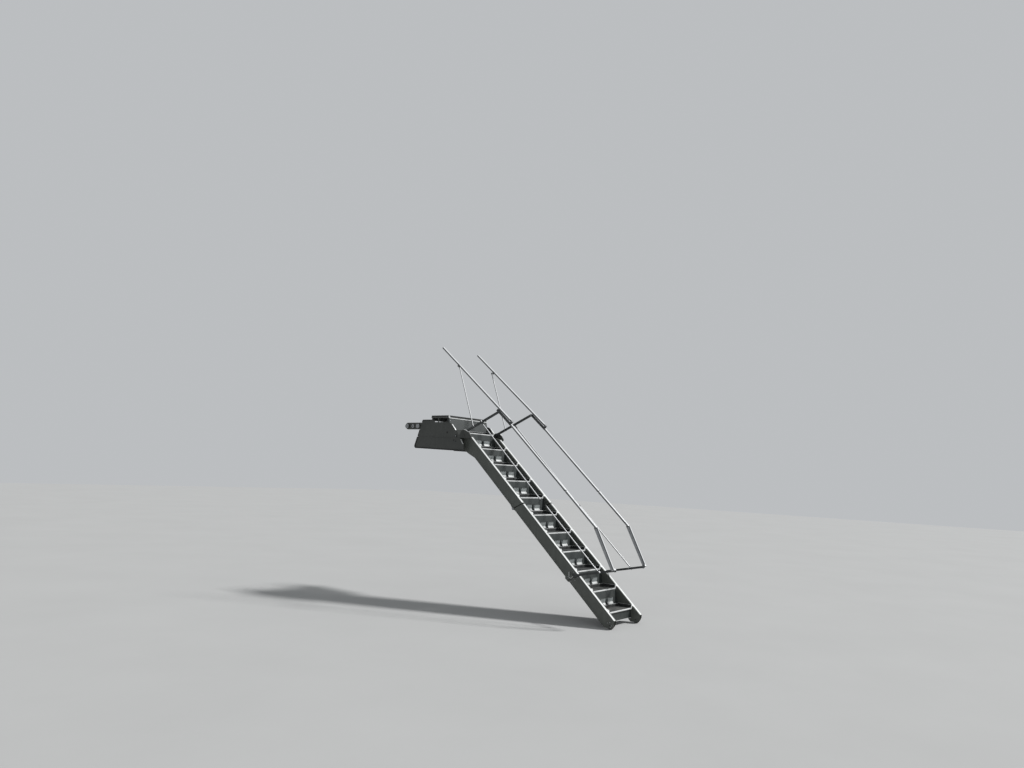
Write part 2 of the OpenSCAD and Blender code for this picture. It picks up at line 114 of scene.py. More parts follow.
def make_light():
    """One soft sun from the front right and an even sky; the camera sees the sky as a plain pale wall."""
    sun = bpy.data.lights.new("sun", "SUN")
    sun.energy = SUN_POWER
    sun.angle = SUN_WIDTH
    lamp = bpy.data.objects.new("sun", sun)
    lamp.rotation_euler = TO_SUN.normalized().to_track_quat("Z", "Y").to_euler()
    bpy.context.scene.collection.objects.link(lamp)
    world = bpy.data.worlds.new("sky")
    bpy.context.scene.world = world
    world.use_nodes = True
    world.node_tree.nodes.clear()
    n = Nodes(world.node_tree)
    mix = n.add("MixShader")
    n.put(mix.inputs[0], n.add("LightPath").outputs["Is Camera Ray"])
    n.put(mix.inputs[1], n.add("Background", Color=SKY, Strength=SKY_POWER).outputs[0])
    n.put(mix.inputs[2], n.add("Background", Color=WALL).outputs[0])
    n.put(n.add("OutputWorld").inputs[0], mix.outputs[0])


def make_floor():
    """Plain pale floor under the foot rollers, with a faint change of tone."""
    bpy.ops.mesh.primitive_plane_add(size=FLOOR_SIZE, location=(0, 0, GROUND * MM))
    floor = bpy.context.object
    floor.name = "floor"
    pale = finish_material("floor", FLOOR_DARK, FLOOR_LIGHT, FLOOR_LIGHT, 0.9, rub=0.0, streaks=0.0,
                           depth=0.05, dust=0.0, patch=0.6)
    floor.data.materials.append(pale)


# Materials

class Nodes:
    """Shorthand for one node tree: add a node, join sockets, do arithmetic."""

    def __init__(self, tree):
        """Helper for the given tree."""
        self.tree = tree

    def add(self, kind, **inputs):
        """New shader node of a kind; each input is a number, a colour or another node's socket."""
        node = self.tree.nodes.new("ShaderNode" + kind)
        for key, value in inputs.items():
            self.put(node.inputs[key.replace("_", " ")], value)
        return node

    def put(self, socket, value):
        """Value set on a socket, or joined to it where the value is a socket itself."""
        if isinstance(value, bpy.types.NodeSocket):
            self.tree.links.new(value, socket)
        else:
            socket.default_value = value

    def math(self, operation, a, b=0.0):
        """One sum, difference or product of a and b."""
        node = self.tree.nodes.new("ShaderNodeMath")
        node.operation = operation
        self.put(node.inputs[0], a)
        self.put(node.inputs[1], b)
        return node.outputs[0]

    def spread(self, value, low, high, to_low=0.0, to_high=1.0):
        """Value taken linearly from low..high to to_low..to_high and kept inside."""
        node = self.add("MapRange", Value=value)
        for key, number in (("From Min", low), ("From Max", high), ("To Min", to_low), ("To Max", to_high)):
            self.put(node.inputs[key], number)
        return node.outputs[0]

    def blend(self, mask, a, b):
        """Colour a where the mask is 0, colour b where it is 1."""
        node = self.tree.nodes.new("ShaderNodeMix")
        node.data_type = "RGBA"
        self.put(node.inputs["Factor"], mask)
        self.put(node.inputs[6], a)
        self.put(node.inputs[7], b)
        return node.outputs[2]


def new_group(name, inputs, outputs):
    """Empty node group with named sockets; gives its helper, its input node and its output node."""
    tree = bpy.data.node_groups.new(name, "ShaderNodeTree")
    for label, kind, value in inputs:
        socket = tree.interface.new_socket(label, in_out="INPUT", socket_type="NodeSocket" + kind)
        if value is not None:
            socket.default_value = value
    for label, kind in outputs:
        tree.interface.new_socket(label, in_out="OUTPUT", socket_type="NodeSocket" + kind)
    n = Nodes(tree)
    return n, tree.nodes.new("NodeGroupInput"), tree.nodes.new("NodeGroupOutput")


def group_wear():
    """Patches, run-down streaks and rubbed spots, as two masks over the surface."""
    n, given, out = new_group("wear", [("Patch size", "Float", 6.0), ("Streaks", "Float", 0.5),
                                       ("Rub", "Float", 0.3)],
                              [("Tone", "Float"), ("Rubbed", "Float")])
    place = n.add("TexCoord").outputs["Object"]
    patches = n.add("TexNoise", Vector=place, Scale=given.outputs["Patch size"], Detail=5.0, Roughness=0.6)
    stretched = n.add("Mapping", Vector=place)
    stretched.inputs["Scale"].default_value = (38.0, 38.0, 2.2)
    streaks = n.add("TexNoise", Vector=stretched.outputs[0], Scale=1.0, Detail=3.0)
    run = n.math("MULTIPLY", n.spread(streaks.outputs["Fac"], 0.45, 0.75), given.outputs["Streaks"])
    tone = n.math("ADD", n.spread(patches.outputs["Fac"], 0.25, 0.75), run)
    fine = n.add("TexNoise", Vector=place, Scale=75.0, Detail=6.0, Roughness=0.7)
    high = n.math("MULTIPLY", fine.outputs["Fac"], patches.outputs["Fac"])
    limit = n.spread(given.outputs["Rub"], 0.0, 1.0, 0.46, 0.26)
    rubbed = n.math("MULTIPLY", n.math("SUBTRACT", high, limit), 14.0)
    n.put(out.inputs["Tone"], n.math("MULTIPLY", tone, 0.75))
    n.put(out.inputs["Rubbed"], n.spread(rubbed, 0.0, 1.0))
    return n.tree


def group_grain():
    """Fine surface grain as a normal and a value; Stretch makes it run along X like brushing."""
    n, given, out = new_group("grain", [("Scale", "Float", 400.0), ("Depth", "Float", 0.2),
                                        ("Stretch", "Vector", (1.0, 1.0, 1.0))],
                              [("Value", "Float"), ("Normal", "Vector")])
    place = n.add("Mapping", Vector=n.add("TexCoord").outputs["Object"], Scale=given.outputs["Stretch"])
    noise = n.add("TexNoise", Vector=place.outputs[0], Scale=given.outputs["Scale"], Detail=3.0)
    bump = n.add("Bump", Strength=given.outputs["Depth"], Height=noise.outputs["Fac"])
    bump.inputs["Distance"].default_value = 0.002
    n.put(out.inputs["Value"], noise.outputs["Fac"])
    n.put(out.inputs["Normal"], bump.outputs[0])
    return n.tree


def group_dust():
    """Pale road dust: thick near the ground, thin higher up, broken by noise and lying on level faces."""
    n, given, out = new_group("dust", [("Amount", "Float", 0.4)], [("Mask", "Float")])
    place = n.add("TexCoord").outputs["Object"]
    height = n.add("SeparateXYZ", Vector=place).outputs["Z"]
    low = n.spread(height, GROUND * MM, GROUND * MM + 0.7, 1.0, 0.25)
    level = n.spread(n.add("SeparateXYZ", Vector=n.add("NewGeometry").outputs["Normal"]).outputs["Z"],
                     -0.2, 0.9, 0.35, 1.0)
    noise = n.spread(n.add("TexNoise", Vector=place, Scale=14.0, Detail=7.0, Roughness=0.7).outputs["Fac"],
                     0.4, 0.7)
    mask = n.math("MULTIPLY", n.math("MULTIPLY", low, level), noise)
    n.put(out.inputs["Mask"], n.math("MULTIPLY", mask, given.outputs["Amount"]))
    return n.tree


GROUPS = {"wear": group_wear(), "grain": group_grain(), "dust": group_dust()}
DUST = (0.30, 0.28, 0.25, 1)


def finish_material(name, dark, light, bare, rough, metal=0.0, patch=6.0, streaks=0.5, rub=0.3,
                    grain=400.0, depth=0.2, stretch=(1, 1, 1), dust=0.4, bare_metal=0.8, coat=0.0,
                    top_highlight=None):
    """Two paint tones blended by wear, bare spots where rubbed, dust on top, grain in roughness and normal.

    Where a highlight colour is given, the side of a tube that faces square off the flight is painted to it:
    a painted highlight, as if lit from above.
    """
    mat = bpy.data.materials.new(name)
    mat.use_nodes = True
    n = Nodes(mat.node_tree)
    shader = mat.node_tree.nodes["Principled BSDF"]
    made = {}
    for key, values in (("wear", {"Patch size": patch, "Streaks": streaks, "Rub": rub}),
                        ("grain", {"Scale": grain, "Depth": depth, "Stretch": stretch}),
                        ("dust", {"Amount": dust})):
        node = mat.node_tree.nodes.new("ShaderNodeGroup")
        node.node_tree = GROUPS[key]
        for label, value in values.items():
            node.inputs[label].default_value = value
        made[key] = node.outputs
    paint = n.blend(made["wear"]["Tone"], (*dark, 1), (*light, 1))
    worn = n.blend(made["wear"]["Rubbed"], paint, (*bare, 1))
    # Painted highlight: the tube's side that faces square off the flight is painted bright.
    if top_highlight:
        facing = mat.node_tree.nodes.new("ShaderNodeVectorMath")
        facing.operation = "DOT_PRODUCT"
        n.put(facing.inputs[0], n.add("TexCoord").outputs["Normal"])
        n.put(facing.inputs[1], (0.0, -SIN, COS))
        worn = n.blend(n.spread(facing.outputs["Value"], 0.30, 0.62), worn, (*top_highlight, 1))
    n.put(shader.inputs["Base Color"], n.blend(made["dust"]["Mask"], worn, DUST))
    mixed = n.math("ADD", n.spread(made["grain"]["Value"], 0.3, 0.7, rough - 0.07, rough + 0.07),
                   n.math("MULTIPLY", made["dust"]["Mask"], 0.3))
    n.put(shader.inputs["Roughness"], mixed)
    if metal != bare_metal and rub > 0:
        n.put(shader.inputs["Metallic"], n.spread(made["wear"]["Rubbed"], 0.0, 1.0, metal, bare_metal))
    else:
        shader.inputs["Metallic"].default_value = metal
    n.put(shader.inputs["Normal"], made["grain"]["Normal"])
    if coat:
        shader.inputs["Coat Weight"].default_value = coat
        shader.inputs["Coat Roughness"].default_value = 0.25
    return mat


MATS = {
    # One grey paint in two copies: the carriage's is kept darker as painted shade, the beams' copy is
    # lighter.
    "grey_paint": finish_material("grey_paint", (0.038, 0.041, 0.038), (0.062, 0.066, 0.061),
                                  (0.30, 0.30, 0.29), 0.46, rub=0.20, dust=0.30),
    "beam_paint_out_of_shade": finish_material("beam_paint_out_of_shade", (0.067, 0.073, 0.066), (0.104, 0.113, 0.101),
                                  (0.34, 0.34, 0.33), 0.46, rub=0.20, dust=0.30),
    # Riser sheet: very dark, partly its own dark paint and partly painted shade of the risers under the
    # treads.
    "riser_sheet": finish_material("riser_sheet", (0.020, 0.026, 0.025), (0.033, 0.040, 0.039),
                                   (0.20, 0.21, 0.21), 0.52, rub=0.14, dust=0.25),
    "deck_paint": finish_material("deck_paint", (0.018, 0.020, 0.020), (0.036, 0.038, 0.037),
                                  (0.14, 0.14, 0.13), 0.80, grain=900.0, depth=0.8, rub=0.30, dust=0.5,
                                  bare_metal=0.2),
    "tread_grip": finish_material("tread_grip", (0.017, 0.020, 0.020), (0.034, 0.037, 0.037),
                                  (0.12, 0.12, 0.115), 0.85, grain=1100.0, depth=1.0, rub=0.25, dust=0.4,
                                  bare_metal=0.2),
    "bright_edge": finish_material("bright_edge", (0.62, 0.63, 0.62), (0.80, 0.81, 0.80),
                                   (0.34, 0.34, 0.33), 0.38, metal=0.15, bare_metal=0.5, patch=11.0,
                                   streaks=0.2, rub=0.22, grain=260.0, depth=0.15, stretch=(0.15, 1, 1),
                                   dust=0.22),
    # Rails: a dark tube colour, partly the tubes' own satin grey and partly painted shade of their
    # undersides, with a painted highlight along the side facing off the flight.
    "rail_metal": finish_material("rail_metal", (0.085, 0.090, 0.091), (0.15, 0.156, 0.157),
                                  (0.34, 0.34, 0.34), 0.30, metal=0.15, bare_metal=0.6, patch=9.0,
                                  streaks=0.2, rub=0.18, grain=700.0, depth=0.10, dust=0.12,
                                  top_highlight=(0.88, 0.885, 0.89)),
    "link_paint": finish_material("link_paint", (0.026, 0.030, 0.031), (0.048, 0.053, 0.054),
                                  (0.26, 0.26, 0.26), 0.45, rub=0.26, dust=0.22),
    "light_panel": finish_material("light_panel", (0.36, 0.39, 0.385), (0.52, 0.55, 0.545),
                                   (0.22, 0.23, 0.23), 0.30, bare_metal=0.0, patch=16.0,
                                   streaks=0.4, rub=0.15, depth=0.1, dust=0.35, coat=0.35),
    "rubber": finish_material("rubber", (0.012, 0.012, 0.013), (0.026, 0.026, 0.026),
                              (0.065, 0.060, 0.054), 0.82, bare_metal=0.0, grain=900.0,
                              depth=0.4, rub=0.45, dust=0.7),
    "pin_steel": finish_material("pin_steel", (0.26, 0.27, 0.28), (0.44, 0.45, 0.46),
                                 (0.14, 0.12, 0.10), 0.34, metal=0.9, bare_metal=0.5, patch=22.0,
                                 streaks=0.1, rub=0.30, grain=500.0, depth=0.2, dust=0.2),
}


# Surfaces worked out as arrays

def unit(v):
    """Vector of the same direction and length one."""
    return v / np.linalg.norm(v)


def grid_faces(rows, cols, wrap):
    """Quads of a rows x cols grid of points, numbered by rows; wrap joins the last column to the first."""
    r, c = np.meshgrid(np.arange(rows - 1), np.arange(cols if wrap else cols - 1), indexing="ij")
    nxt = (c + 1) % cols
    quads = np.stack([r * cols + c, r * cols + nxt, (r + 1) * cols + nxt, (r + 1) * cols + c], -1)
    return quads.reshape(-1, 4).tolist()


def tube_of(rings):
    """Closed skin through rings of points (rows, around, 3), with a flat cap at each end."""
    rows, around = rings.shape[:2]
    faces = grid_faces(rows, around, True)
    faces.append(list(range(around))[::-1])
    faces.append([(rows - 1) * around + k for k in range(around)])
    return rings.reshape(-1, 3), faces


def closed_ring(rings):
    """Skin through rings of points (rows, around, 3) whose last ring joins the first."""
    rows, around = rings.shape[:2]
    faces = np.array(grid_faces(rows + 1, around, True)) % (rows * around)
    return rings.reshape(-1, 3), faces.tolist()


def slope_point(x, s, n):
    """Point of the part's frame for a place on the flight; arrays give arrays of points."""
    x, s, n = np.broadcast_arrays(x, s, n)
    return np.stack([x, NOSE[0] - s * COS - n * SIN, NOSE[1] - s * SIN + n * COS], -1).astype(float)


ALONG = np.array([0.0, -COS, -SIN])
ABOVE = np.array([0.0, -SIN, COS])
ACROSS = np.array([1.0, 0.0, 0.0])
UP = np.array([0.0, 0.0, 1.0])
OUT_Y = np.array([0.0, 1.0, 0.0])


def slope_way(d):
    """Direction given in (s, n) taken to the part's frame."""
    return d[0] * ALONG + d[1] * ABOVE


def along_bar(profile, start, end, u, v, inset=0.8):
    """Profile (u, v) carried straight from start to end, drawn in a little at both ends as a bevel."""
    profile = np.asarray(profile, float)
    start, end = np.asarray(start, float), np.asarray(end, float)
    d = unit(end - start)
    centre = profile.mean(0)
    reach = np.abs(profile - centre).max()
    small = centre + (profile - centre) * (1 - min(0.45, inset / reach))
    stations = ((start, small), (start + d * inset, profile), (end - d * inset, profile), (end, small))
    return tube_of(np.array([base + shape[:, :1] * u + shape[:, 1:] * v for base, shape in stations]))


def bar_profile(width, height, radius, steps=3):
    """Rectangle centred on zero whose corners are quarter circles."""
    t = np.linspace(0, math.pi / 2, steps + 1)
    arc = radius * np.stack([np.cos(t), np.sin(t)], -1)
    out = []
    for k, (sx, sy) in enumerate(((1, 1), (-1, 1), (-1, -1), (1, -1))):
        c, s = math.cos(k * math.pi / 2), math.sin(k * math.pi / 2)
        turn = np.array([[c, -s], [s, c]])
        out.append(arc @ turn.T + [sx * (width / 2 - radius), sy * (height / 2 - radius)])
    return np.concatenate(out)


def lathe(profile, at, axis=ACROSS, around=24, ring=False):
    """Profile of (distance along the axis, radius) turned about the axis; a ring's profile is a loop."""
    profile = np.asarray(profile, float)
    a = unit(axis)
    u = unit(np.cross(a, UP if abs(a[2]) < 0.9 else ACROSS))
    w = np.cross(a, u)
    t = np.linspace(0, 2 * math.pi, around, endpoint=False)
    circle = np.cos(t)[:, None] * u + np.sin(t)[:, None] * w
    rings = np.asarray(at, float) + profile[:, None, :1] * a + profile[:, None, 1:] * circle[None]
    return closed_ring(rings) if ring else tube_of(rings)


def plate_of(outline, x0, x1, bevel=0.8):
    """Flat shape given in (y, z) made a plate from x0 to x1; its rim is drawn in by the bevel."""
    outline = np.asarray(outline, float)
    following = np.roll(outline, -1, 0)
    ahead, behind = following - outline, outline - np.roll(outline, 1, 0)
    turn = np.array([[0.0, -1.0], [1.0, 0.0]])
    sense = np.sign(np.sum(outline[:, 0] * following[:, 1] - following[:, 0] * outline[:, 1]))
    normal = (ahead / np.linalg.norm(ahead, axis=1)[:, None]
              + behind / np.linalg.norm(behind, axis=1)[:, None]) @ turn.T * sense
    normal /= np.maximum(np.linalg.norm(normal, axis=1), 1e-6)[:, None]
    small = outline + normal * bevel
    stations = ((x0, small), (x0 + bevel, outline), (x1 - bevel, outline), (x1, small))
    rings = np.array([np.column_stack([np.full(len(shape), x), shape]) for x, shape in stations])
    return tube_of(rings if sense > 0 else rings[:, ::-1])


def slope_outline(points):
    """Outline given in (s, n) taken to (y, z)."""
    points = np.asarray(points, float)
    return slope_point(0.0, points[:, 0], points[:, 1])[:, 1:]


def round_head(at, axis, radius, height, around=10):
    """Domed rivet head: radius falls as a quarter circle over its height."""
    t = np.linspace(0, 1, 4)
    profile = np.column_stack([np.append(-0.5, height * np.sin(t * math.pi / 2)),
                               np.append(radius, radius * np.cos(t * math.pi / 2 * 0.92))])
    return lathe(profile, at, axis, around)


def rivet(at, axis):
    """Small domed rivet, as used all over the frame."""
    return round_head(at, axis, 3.6, 1.9, 8)


def hex_bolt(at, axis, size):
    """Washer, six-sided head with a chamfered crown, and the thread's end, all on one axis."""
    washer = lathe([(-0.5, size * 1.25), (1.2, size * 1.25), (1.6, size * 1.15)], at, axis, 20)
    head = lathe([(1.5, size), (1.5 + size * 0.62, size), (1.5 + size * 0.75, size * 0.82)], at, axis, 6)
    end = lathe([(1.5 + size * 0.7, size * 0.5), (1.5 + size * 1.05, size * 0.5),
                 (1.5 + size * 1.15, size * 0.4)], at, axis, 12)
    return [washer, head, end]


def finish_of(name, slot):
    """Each slot has its own finish; the beams take a lighter copy of the carriage's grey paint, so the
    carriage's darker grey is painted shade.
    """
    beam = slot == "grey_paint" and name.startswith(("beam_", "foot_shoe"))
    return MATS["beam_paint_out_of_shade" if beam else slot]


def piece(name, parts, body, slot, smooth=35.0):
    """One object from several skins: points to metres, normals outward, edges sharper than smooth kept."""
    points, faces, base = [], [], 0
    for verts, quads in parts:
        points.append(verts)
        faces.extend([[k + base for k in face] for face in quads])
        base += len(verts)
    mesh = bpy.data.meshes.new(name)
    mesh.from_pydata((np.concatenate(points) * MM).tolist(), [], faces)
    mesh.update()
    mend_normals(mesh)
    mesh.polygons.foreach_set("use_smooth", np.ones(len(mesh.polygons), bool))
    mesh.set_sharp_from_angle(angle=math.radians(smooth))
    mesh.materials.append(finish_of(name, slot))
    obj = bpy.data.objects.new(name, mesh)
    bpy.context.scene.collection.objects.link(obj)
    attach(obj, body)
    return obj


def mend_normals(mesh):
    """Every shell's faces turned outward."""
    bm = bmesh.new()
    bm.from_mesh(mesh)
    bmesh.ops.recalc_face_normals(bm, faces=bm.faces)
    bm.to_mesh(mesh)
    bm.free()


# Side beams

# Sections with the first and last s of their bright flange caps (painted highlight) and beads; a bead is
# given by its n and its depth
HIGHLIGHT_CAP_W = 31.0
SECTIONS = (("upper", "upper_ladder", (436, 1681), (700, 1600)),
            ("lower", "lower_ladder", (1709, 2893), (1700, 2760)),
            ("foot", "lower_ladder", (2911, 3576), (2920, 3480)))
BEADS = ((-BEAM_LOW + 10, 3.0), (-BEAM_LOW + 26, 1.6), (BEAM_TOP - 16, 1.6))
RIVET_SPANS = (("upper_ladder", ((480, 1600),)), ("lower_ladder", ((1730, 2750), (2930, 3480))))
RIVET_STEP = 62.0


def flange_highlight_section(sign):
    """Bright cap in (x, n), a painted highlight for the sunlit flange top: a slightly crowned strip whose
    outer edge turns down over the beam's side.
    """
    half, drop, t = HIGHLIGHT_CAP_W / 2, 3.5, 1.5
    rim = [(-half, -0.4), (half - t, -0.4), (half - t, -drop), (half, -drop), (half, -0.2),
           (half - 1.5, 1.3), (0, 1.7), (-half + 1.0, 1.2), (-half, 0.4)]
    return [(sign * x, n) for x, n in rim]


def flange_highlight_caps():
    """Bright caps along the outer part of the beams' top flanges, cut where the sections meet: painted
    highlight where the sun falls on the flanges.
    """
    for side, sign in SIDES:
        x = sign * (BEAM_X + 1.5 - HIGHLIGHT_CAP_W / 2)
        for name, body, (s0, s1), _ in SECTIONS:
            skin = along_bar(flange_highlight_section(sign), slope_point(x, s0, BEAM_TOP),
                             slope_point(x, s1, BEAM_TOP), ACROSS, ABOVE, 1.0)
            piece(f"flange_highlight_cap_{name}_{side}", [skin], body, "bright_edge")


def beam_beads():
    """Stiffening beads along the outer face of each beam: rounded bars sunk to half their depth."""
    for side, sign in SIDES:
        x = sign * BEAM_X
        for name, body, _, (s0, s1) in SECTIONS:
            parts = [along_bar(bar_profile(6.0, depth * 2, min(depth, 2.8)), slope_point(x, s0, n),
                               slope_point(x, s1, n), ABOVE, ACROSS, 2.0) for n, depth in BEADS]
            piece(f"beam_beads_{name}_{side}", parts, body, "grey_paint")


def beam_rivets():
    """Rows of domed rivets down both faces of the beams, at even steps between the section's ends."""
    for side, sign in SIDES:
        for body, spans in RIVET_SPANS:
            parts = [rivet(slope_point(sign * BEAM_X, s, n), sign * ACROSS) for s0, s1 in spans
                     for s in np.arange(s0, s1, RIVET_STEP) for n in (BEAM_TOP - 8, -BEAM_LOW + 18)]
            piece(f"beam_rivets_{body}_{side}", parts, body, "pin_steel")


# Treads, nosings and risers

def tread_at(k, y, z):
    """Place behind the nosing of tread k, y inward and z up; arrays give arrays of points."""
    y, z = np.broadcast_arrays(y, z)
    return np.stack([np.zeros(y.shape), NOSE[0] - k * RUN + y, NOSE[1] - k * RISE + z], -1)


def ribbed_mat(at, x0, x1, y0, y1, pitch, height, base):
    """Mat ribbed along X and closed at its rim: z = base + height * max(0, cos(2 pi y / pitch))^0.6."""
    y = np.linspace(y0, y1, int((y1 - y0) / pitch) * 8 + 1)
    z = base + height * np.maximum(0, np.cos(2 * math.pi * (y - y0) / pitch)) ** 0.6
    z[[0, -1]] = base
    top = np.column_stack([y, z])
    outline = np.vstack([top, [[y1, 0.0], [y0, 0.0]]])
    rings = [at + x * ACROSS + outline[:, :1] * OUT_Y + outline[:, 1:] * UP for x in (x0, x1)]
    return tube_of(np.array(rings))


# Grip mats: half their width, their first and last y behind the nosing, and the ribs' pitch
MAT_HALF, MAT_Y, RIB_PITCH = 274, (19, 187), 12.0


def grip_mats():
    """Ribbed grip on each tread and on the platform."""
    for name, body, steps in LADDERS:
        parts = [ribbed_mat(tread_at(k, 0, 0), -MAT_HALF, MAT_HALF, *MAT_Y, RIB_PITCH, 1.6, 0.7)
                 for k in steps]
        piece(f"tread_mats_{name}", parts, body, "tread_grip", 60)
    deck = ribbed_mat(np.array([0.0, 0.0, DECK_Z]), -DECK_HALF + 9, DECK_HALF - 9, DECK_FRONT + 10,
                      DECK_BACK - 6, RIB_PITCH, 1.2, 0.5)
    piece("platform_mat", [deck], "carriage", "deck_paint", 60)


NOSE_H, RIM_H = 12.0, 40.0


def nosing_section(depth, height):
    """Extruded nosing in (y, n): rounded front corner, ribs 2.8 apart on top, a face of given height."""
    top_y = np.linspace(3.0, depth, 41)
    top_n = 1.3 + 0.5 * np.maximum(0, np.cos(2 * math.pi * (top_y - 4.4) / 2.8))
    top_n[-1] = 0.6
    t = np.linspace(math.pi, math.pi / 2, 6)
    front = np.column_stack([3.0 + 3.2 * np.cos(t), 2.6 * np.sin(t) - 1.3])
    back = [(depth, 0.1), (3.8, 0.1), (3.8, 1.2 - height), (2.8, -height), (1.0, -height),
            (-0.2, 1.2 - height)]
    return np.vstack([front, np.column_stack([top_y, top_n]), back])


def turned_up(section, base, half, tall, r=6.0):
    """Section carried along X and turned up through a quarter circle of radius r at both ends."""
    t = np.linspace(0, math.pi / 2, 6)
    right_x = np.concatenate([half - r + r * np.sin(t), [half]])
    right_z = np.concatenate([r - r * np.cos(t), [tall]])
    lean = np.concatenate([t, [math.pi / 2]])
    x = np.concatenate([-right_x[::-1], right_x])
    z = np.concatenate([right_z[::-1], right_z])
    turn = np.concatenate([-lean[::-1], lean])
    level = np.abs(turn)[:, None] < 1e-6
    height = np.where(level, section[:, 1], np.maximum(section[:, 1], -3.0))
    normal = np.stack([-np.sin(turn), np.zeros(len(turn)), np.cos(turn)], -1)
    middle = base + x[:, None] * ACROSS + z[:, None] * UP
    return tube_of(middle[:, None] + section[:, :1] * OUT_Y + height[..., None] * normal[:, None])


def nosing_bar(k):
    """Nosing of one tread, turned up at its ends, with a gusset in each corner and a tab over each beam."""
    parts = [turned_up(nosing_section(14.0, NOSE_H), tread_at(k, 0, 0), HALF_CLEAR - 1.6, RIM_H)]
    gusset = [(0, 0), (-34, 0), (-30, 8), (-13, RIM_H - 2), (0, RIM_H)]
    s = k * math.hypot(RUN, RISE)
    for sign in (-1, 1):
        corner = sign * (HALF_CLEAR - 0.6) * ACROSS
        parts.append(along_bar(gusset, tread_at(k, -0.6, 0) + corner, tread_at(k, 2.6, 0) + corner,
                               sign * ACROSS, UP, 0.6))
        x, n = sign * (HALF_CLEAR + 6.5), BEAM_TOP + 0.7
        parts.append(along_bar(bar_profile(15.0, 2.6, 1.2), slope_point(x, s - 36, n),
                               slope_point(x, s - 2, n), ACROSS, ABOVE))
    return parts


def rim_beads():
    """Bright worn bead on each tread's rim: a rounded bar carried along a path in (x, y), mitred."""
    half, front, back, cut = 277.0, 15.5, 189.5, 4.5
    path = np.array([(-half, front), (-half, back - cut), (cut - half, back), (half - cut, back),
                     (half, back - cut), (half, front)])
    ahead = np.diff(path, axis=0)
    ahead /= np.linalg.norm(ahead, axis=1)[:, None]
    mean = np.vstack([ahead[:1], ahead[:-1] + ahead[1:], ahead[-1:]])
    side = np.column_stack([mean[:, 1], -mean[:, 0]])
    side /= np.linalg.norm(side, axis=1)[:, None]
    section = bar_profile(4.4, 3.2, 1.4, 2)
    flat = path[:, None] + side[:, None] * section[:, :1]
    bead = flat[..., :1] * ACROSS + flat[..., 1:] * OUT_Y + section[:, 1:] * UP
    for name, body, steps in LADDERS:
        parts = [tube_of(tread_at(k, 0, RIM_H - 3.8) + bead) for k in steps]
        piece(f"rim_beads_{name}", parts, body, "bright_edge")


def nosings():
    """All the treads' nosing bars, one piece for each ladder."""
    for name, body, steps in LADDERS:
        bars = sum((nosing_bar(k) for k in steps), [])
        obj = piece(f"nosing_bars_{name}", bars, body, "bright_edge", 40)
        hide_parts(f"nosings_{name}")


def platform_nosing():
    """Front bar of the platform, turned up at both ends."""
    section = nosing_section(12.0, 11.0)
    base = np.array([0.0, DECK_FRONT, DECK_Z - 30])
    parts = [turned_up(section, base, DECK_HALF - 1.6, 31.0)]
    gusset = [(0, -9), (-26, -9), (-24, 0), (-14, 30), (0, 30)]
    for sign in (-1, 1):
        corner = base + sign * (DECK_HALF - 0.4) * ACROSS
        parts.append(along_bar(gusset, corner - 3.2 * OUT_Y, corner, sign * ACROSS, UP, 0.6))
    obj = piece("platform_front_bar", parts, "carriage", "bright_edge", 40)
    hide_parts("platform_nosing")


# Lights in a riser: (first x, width) of each, heights of the window, reach at its upper edge
WINDOWS = ((-150.0, 124.0), (26.0, 124.0))
LIGHT_Z, LIGHT_OUT = (45.0, 118.0), 28.0
LEAN = (RUN - TREAD_D) / (RISE - NOSE_H)


def riser_point(k, x, z, out):
    """Point on the riser behind tread k; out is its distance in front of the sheet."""
    x, z, out = np.broadcast_arrays(x, z, out)
    return tread_at(k, TREAD_D + LEAN * (z + 4.0) - out, z) + x[..., None] * ACROSS


def front_of_light(z):
    """How far a light's front stands out of the riser: it grows evenly from its lower to its upper edge."""
    return LIGHT_OUT * (z - LIGHT_Z[0]) / (LIGHT_Z[1] - LIGHT_Z[0])


def window_frame(k, x0, w):
    """Round bead round a light's front: a circle swept along the rounded outline."""
    z0, z1 = LIGHT_Z
    r = 2.4
    loop = bar_profile(w + 2, z1 - z0 + 2, 8.0, 4) + [x0 + w / 2, (z0 + z1) / 2]
    centre = loop.mean(0)
    t = np.linspace(0, 2 * math.pi, 8, endpoint=False)[:, None]
    outward = (loop - centre) / np.linalg.norm(loop - centre, axis=1)[:, None]
    flat = loop + outward * r * np.cos(t)[..., None]
    return closed_ring(riser_point(k, flat[..., 0], flat[..., 1],
                                   front_of_light(flat[..., 1]) + 1.0 + r * np.sin(t)))


def fluted_lens(k, x0, w):
    """Wedge with upright flutes: front = lean of the light + 0.8 cos(2 pi x / 8), flat at the rim."""
    pitch = 8.0
    x = np.linspace(x0 + 0.2, x0 + w - 0.2, int(w / pitch) * 8 + 1)
    flute = 0.8 * np.cos(2 * math.pi * (x - x0) / pitch)
    flute[[0, -1]] = -1.0
    round_x = np.concatenate([x, x[::-1]])
    is_front = np.concatenate([np.ones(len(x)), np.zeros(len(x))])
    z = np.array([[LIGHT_Z[0] + 0.2], [LIGHT_Z[1] - 0.2]])
    out = is_front * (front_of_light(z) + np.concatenate([flute, flute])) + (1 - is_front) * -3.9
    return tube_of(riser_point(k, round_x, z, out))


def light_hood(k, x0, w):
    """Lid over a light's wedge and cover behind the riser: flat shapes in (out, z) carried along X."""
    z0, z1 = LIGHT_Z
    lid = np.array([(-2.5, z1), (LIGHT_OUT + 1.2, z1), (LIGHT_OUT + 2.2, z1 + 2.6), (-2.5, z1 + 2.6)])
    cover = np.array([(-5.4, z0 - 4), (-3.2, z0 - 6), (-3.2, z1 + 6), (-5.4, z1 + 4)])
    return [tube_of(riser_point(k, np.array([[x0 - over], [x0 + w + over]]), shape[:, 1], shape[:, 0]))
            for shape, over in ((lid, 2.4), (cover, 5.0))]


